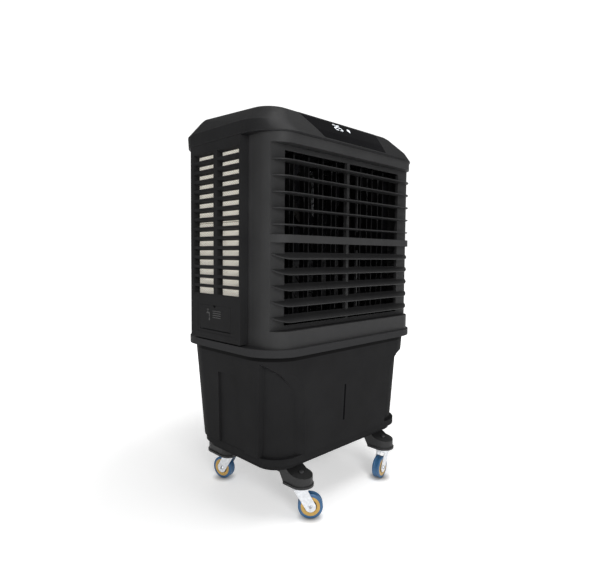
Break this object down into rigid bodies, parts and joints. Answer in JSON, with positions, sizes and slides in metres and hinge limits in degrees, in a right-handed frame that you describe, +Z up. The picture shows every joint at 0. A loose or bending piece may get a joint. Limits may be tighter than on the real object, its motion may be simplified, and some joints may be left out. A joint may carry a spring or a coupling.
{
  "type": "evaporative cooler",
  "caption": "Free-standing evaporative air cooler: a louvred fan housing with removable pad panels on a tapered water tank, with a water inlet door, touch panel and swivel castors.",
  "frame": {"origin": "centre of the footprint on the floor the castor wheels stand on", "axes": "+Z up, front with the air outlet towards -Y, water inlet door on the -X side"},
  "size_m": [0.982, 0.6484, 1.595],
  "materials": {
    "body_plastic": "charcoal moulded plastic, fine texture",
    "bezel_plastic": "charcoal moulded plastic, satin",
    "louver_plastic": "charcoal moulded plastic, satin",
    "cover_plastic": "dark charcoal moulded plastic, satin",
    "tank_plastic": "dark charcoal moulded plastic, fine texture",
    "grille_plastic": "dark charcoal moulded plastic",
    "panel_gloss": "glossy black touch panel",
    "window_gloss": "dark level window",
    "pad_fibre": "beige corrugated fibre cooling pad",
    "fan_plastic": "dark fan plastic",
    "motor_paint": "grey painted motor",
    "guard_wire": "black coated steel",
    "zinc": "white zinc plated steel",
    "bolt_steel": "dark plated bolt",
    "castor_tyre": "blue polyurethane tyre on a yellow core",
    "valve_plastic": "white valve plastic",
    "pipe_plastic": "white pipe plastic",
    "inlet_brass": "brass hose thread",
    "black_fitting": "black fitting plastic"
  },
  "bodies": {
    "housing": {"tank": "tank_plastic", "level_window": "window_gloss", "foot_rail_left": "body_plastic", "foot_rail_right": "body_plastic", "foot_bolts": "bolt_steel", "caster_plates": "zinc", "front_bezel": "bezel_plastic", "body_frame": "body_plastic", "top_cover": "cover_plastic", "control_panel": "panel_gloss", "fan_shroud": "fan_plastic", "fan_guard": "guard_wire", "motor_bracket": "guard_wire", "fan_motor": "motor_paint", "swing_motor": "pipe_plastic", "water_distributor": "pipe_plastic", "riser_pipe": "pipe_plastic", "pump": "black_fitting", "inlet_connector": "inlet_brass", "float_valve": "valve_plastic", "power_gland": "black_fitting"},
    "left_panel": {"left_grille": "grille_plastic", "left_pad": "pad_fibre"},
    "water_door": {"water_door": "grille_plastic"},
    "right_panel": {"right_grille": "grille_plastic", "right_pad": "pad_fibre"},
    "rear_panel": {"rear_grille": "grille_plastic", "rear_pad": "pad_fibre"},
    "drain_cap": {"drain_cap": "black_fitting"},
    "fan_rotor": {"fan_rotor": "fan_plastic"},
    "float_arm": {"float_arm": "valve_plastic"},
    "upper_louver_1": {"upper_louver_1": "louver_plastic"},
    "upper_louver_2": {"upper_louver_2": "louver_plastic"},
    "upper_louver_3": {"upper_louver_3": "louver_plastic"},
    "upper_louver_4": {"upper_louver_4": "louver_plastic"},
    "upper_louver_5": {"upper_louver_5": "louver_plastic"},
    "upper_link": {"upper_link": "louver_plastic"},
    "lower_louver_1": {"lower_louver_1": "louver_plastic"},
    "lower_louver_2": {"lower_louver_2": "louver_plastic"},
    "lower_louver_3": {"lower_louver_3": "louver_plastic"},
    "lower_louver_4": {"lower_louver_4": "louver_plastic"},
    "lower_louver_5": {"lower_louver_5": "louver_plastic"},
    "lower_link": {"lower_link": "louver_plastic"},
    "vane_1": {"vane_1": "louver_plastic"},
    "vane_2": {"vane_2": "louver_plastic"},
    "vane_3": {"vane_3": "louver_plastic"},
    "vane_4": {"vane_4": "louver_plastic"},
    "vane_5": {"vane_5": "louver_plastic"},
    "vane_6": {"vane_6": "louver_plastic"},
    "vane_7": {"vane_7": "louver_plastic"},
    "vane_8": {"vane_8": "louver_plastic"},
    "vane_link": {"vane_link": "louver_plastic"},
    "fork_front_left": {"fork_front_left": "zinc"},
    "wheel_front_left": {"wheel_front_left": "castor_tyre"},
    "fork_front_right": {"fork_front_right": "zinc"},
    "wheel_front_right": {"wheel_front_right": "castor_tyre"},
    "fork_rear_left": {"fork_rear_left": "zinc"},
    "wheel_rear_left": {"wheel_rear_left": "castor_tyre"},
    "fork_rear_right": {"fork_rear_right": "zinc"},
    "wheel_rear_right": {"wheel_rear_right": "castor_tyre"}
  },
  "joints": [
    {"name": "left_panel_removal", "type": "slide", "parent": "housing", "child": "left_panel", "axis": [-1, 0, 0], "range_m": [0, 0.15]},
    {"name": "water_door_hinge", "type": "hinge", "parent": "left_panel", "child": "water_door", "pos_m": [-0.485, 0.025, 0.737], "axis": [0, -1, 0], "range_deg": [0, 95]},
    {"name": "right_panel_removal", "type": "slide", "parent": "housing", "child": "right_panel", "axis": [1, 0, 0], "range_m": [0, 0.15]},
    {"name": "rear_panel_removal", "type": "slide", "parent": "housing", "child": "rear_panel", "axis": [0, 1, 0], "range_m": [0, 0.15]},
    {"name": "drain_cap_removal", "type": "slide", "parent": "housing", "child": "drain_cap", "axis": [0, 1, 0], "range_m": [0, 0.05]},
    {"name": "fan_spin", "type": "hinge", "parent": "housing", "child": "fan_rotor", "pos_m": [0, -0.068, 1.0955], "axis": [0, 1, 0], "continuous": true},
    {"name": "float_pivot", "type": "hinge", "parent": "housing", "child": "float_arm", "pos_m": [-0.386, 0.03, 0.624], "axis": [0, 1, 0], "range_deg": [0, 35]},
    {"name": "upper_louver_1_pivot", "type": "hinge", "parent": "housing", "child": "upper_louver_1", "pos_m": [0, -0.244, 1.38], "axis": [1, 0, 0], "range_deg": [-30, 35]},
    {"name": "upper_louver_2_pivot", "type": "hinge", "parent": "housing", "child": "upper_louver_2", "pos_m": [0, -0.244, 1.3215], "axis": [1, 0, 0], "range_deg": [-30, 35]},
    {"name": "upper_louver_3_pivot", "type": "hinge", "parent": "housing", "child": "upper_louver_3", "pos_m": [0, -0.244, 1.263], "axis": [1, 0, 0], "range_deg": [-30, 35]},
    {"name": "upper_louver_4_pivot", "type": "hinge", "parent": "housing", "child": "upper_louver_4", "pos_m": [0, -0.244, 1.2045], "axis": [1, 0, 0], "range_deg": [-30, 35]},
    {"name": "upper_louver_5_pivot", "type": "hinge", "parent": "housing", "child": "upper_louver_5", "pos_m": [0, -0.244, 1.146], "axis": [1, 0, 0], "range_deg": [-30, 35]},
    {"name": "upper_link_pivot", "type": "hinge", "parent": "upper_louver_1", "child": "upper_link", "pos_m": [0.082, -0.228, 1.38], "axis": [1, 0, 0], "range_deg": [-35, 30]},
    {"name": "lower_louver_1_pivot", "type": "hinge", "parent": "housing", "child": "lower_louver_1", "pos_m": [0, -0.244, 1.043], "axis": [1, 0, 0], "range_deg": [-57, 8]},
    {"name": "lower_louver_2_pivot", "type": "hinge", "parent": "housing", "child": "lower_louver_2", "pos_m": [0, -0.244, 0.9845], "axis": [1, 0, 0], "range_deg": [-57, 8]},
    {"name": "lower_louver_3_pivot", "type": "hinge", "parent": "housing", "child": "lower_louver_3", "pos_m": [0, -0.244, 0.926], "axis": [1, 0, 0], "range_deg": [-57, 8]},
    {"name": "lower_louver_4_pivot", "type": "hinge", "parent": "housing", "child": "lower_louver_4", "pos_m": [0, -0.244, 0.8675], "axis": [1, 0, 0], "range_deg": [-57, 8]},
    {"name": "lower_louver_5_pivot", "type": "hinge", "parent": "housing", "child": "lower_louver_5", "pos_m": [0, -0.244, 0.809], "axis": [1, 0, 0], "range_deg": [-57, 8]},
    {"name": "lower_link_pivot", "type": "hinge", "parent": "lower_louver_1", "child": "lower_link", "pos_m": [0.082, -0.22974, 1.05026], "axis": [1, 0, 0], "range_deg": [-8, 57]},
    {"name": "vane_1_pivot", "type": "hinge", "parent": "housing", "child": "vane_1", "pos_m": [-0.287, -0.19, 1.0975], "axis": [0, 0, 1], "range_deg": [-15, 55]},
    {"name": "vane_2_pivot", "type": "hinge", "parent": "housing", "child": "vane_2", "pos_m": [-0.205, -0.19, 1.0975], "axis": [0, 0, 1], "range_deg": [-15, 55]},
    {"name": "vane_3_pivot", "type": "hinge", "parent": "housing", "child": "vane_3", "pos_m": [-0.123, -0.19, 1.0975], "axis": [0, 0, 1], "range_deg": [-15, 55]},
    {"name": "vane_4_pivot", "type": "hinge", "parent": "housing", "child": "vane_4", "pos_m": [-0.041, -0.19, 1.0975], "axis": [0, 0, 1], "range_deg": [-15, 55]},
    {"name": "vane_5_pivot", "type": "hinge", "parent": "housing", "child": "vane_5", "pos_m": [0.041, -0.19, 1.0975], "axis": [0, 0, 1], "range_deg": [-15, 55]},
    {"name": "vane_6_pivot", "type": "hinge", "parent": "housing", "child": "vane_6", "pos_m": [0.123, -0.19, 1.0975], "axis": [0, 0, 1], "range_deg": [-15, 55]},
    {"name": "vane_7_pivot", "type": "hinge", "parent": "housing", "child": "vane_7", "pos_m": [0.205, -0.19, 1.0975], "axis": [0, 0, 1], "range_deg": [-15, 55]},
    {"name": "vane_8_pivot", "type": "hinge", "parent": "housing", "child": "vane_8", "pos_m": [0.287, -0.19, 1.0975], "axis": [0, 0, 1], "range_deg": [-15, 55]},
    {"name": "vane_link_pivot", "type": "hinge", "parent": "vane_1", "child": "vane_link", "pos_m": [-0.27742, -0.16369, 0.772], "axis": [0, 0, 1], "range_deg": [-55, 15]},
    {"name": "front_left_swivel", "type": "hinge", "parent": "housing", "child": "fork_front_left", "pos_m": [-0.274, -0.256, 0.1185], "axis": [0, 0, 1], "continuous": true},
    {"name": "front_left_roll", "type": "hinge", "parent": "fork_front_left", "child": "wheel_front_left", "pos_m": [-0.24854, -0.28146, 0.05], "axis": [0.7071, 0.7071, 0], "continuous": true},
    {"name": "front_right_swivel", "type": "hinge", "parent": "housing", "child": "fork_front_right", "pos_m": [0.274, -0.256, 0.1185], "axis": [0, 0, 1], "continuous": true},
    {"name": "front_right_roll", "type": "hinge", "parent": "fork_front_right", "child": "wheel_front_right", "pos_m": [0.23866, -0.26287, 0.05], "axis": [0.1908, -0.9816, 0], "continuous": true},
    {"name": "rear_left_swivel", "type": "hinge", "parent": "housing", "child": "fork_rear_left", "pos_m": [-0.274, 0.207, 0.1185], "axis": [0, 0, 1], "continuous": true},
    {"name": "rear_left_roll", "type": "hinge", "parent": "fork_rear_left", "child": "wheel_rear_left", "pos_m": [-0.28392, 0.24161, 0.05], "axis": [-0.9613, -0.2756, 0], "continuous": true},
    {"name": "rear_right_swivel", "type": "hinge", "parent": "housing", "child": "fork_rear_right", "pos_m": [0.274, 0.207, 0.1185], "axis": [0, 0, 1], "continuous": true},
    {"name": "rear_right_roll", "type": "hinge", "parent": "fork_rear_right", "child": "wheel_rear_right", "pos_m": [0.292, 0.23818, 0.05], "axis": [-0.866, 0.5, 0], "continuous": true}
  ],
  "couplings": [
    {"joint": "upper_louver_2_pivot", "follows": "upper_louver_1_pivot", "ratio": 1},
    {"joint": "upper_louver_3_pivot", "follows": "upper_louver_1_pivot", "ratio": 1},
    {"joint": "upper_louver_4_pivot", "follows": "upper_louver_1_pivot", "ratio": 1},
    {"joint": "upper_louver_5_pivot", "follows": "upper_louver_1_pivot", "ratio": 1},
    {"joint": "upper_link_pivot", "follows": "upper_louver_1_pivot", "ratio": -1},
    {"joint": "lower_louver_2_pivot", "follows": "lower_louver_1_pivot", "ratio": 1},
    {"joint": "lower_louver_3_pivot", "follows": "lower_louver_1_pivot", "ratio": 1},
    {"joint": "lower_louver_4_pivot", "follows": "lower_louver_1_pivot", "ratio": 1},
    {"joint": "lower_louver_5_pivot", "follows": "lower_louver_1_pivot", "ratio": 1},
    {"joint": "lower_link_pivot", "follows": "lower_louver_1_pivot", "ratio": -1},
    {"joint": "vane_2_pivot", "follows": "vane_1_pivot", "ratio": 1},
    {"joint": "vane_3_pivot", "follows": "vane_1_pivot", "ratio": 1},
    {"joint": "vane_4_pivot", "follows": "vane_1_pivot", "ratio": 1},
    {"joint": "vane_5_pivot", "follows": "vane_1_pivot", "ratio": 1},
    {"joint": "vane_6_pivot", "follows": "vane_1_pivot", "ratio": 1},
    {"joint": "vane_7_pivot", "follows": "vane_1_pivot", "ratio": 1},
    {"joint": "vane_8_pivot", "follows": "vane_1_pivot", "ratio": 1},
    {"joint": "vane_link_pivot", "follows": "vane_1_pivot", "ratio": -1}
  ]
}
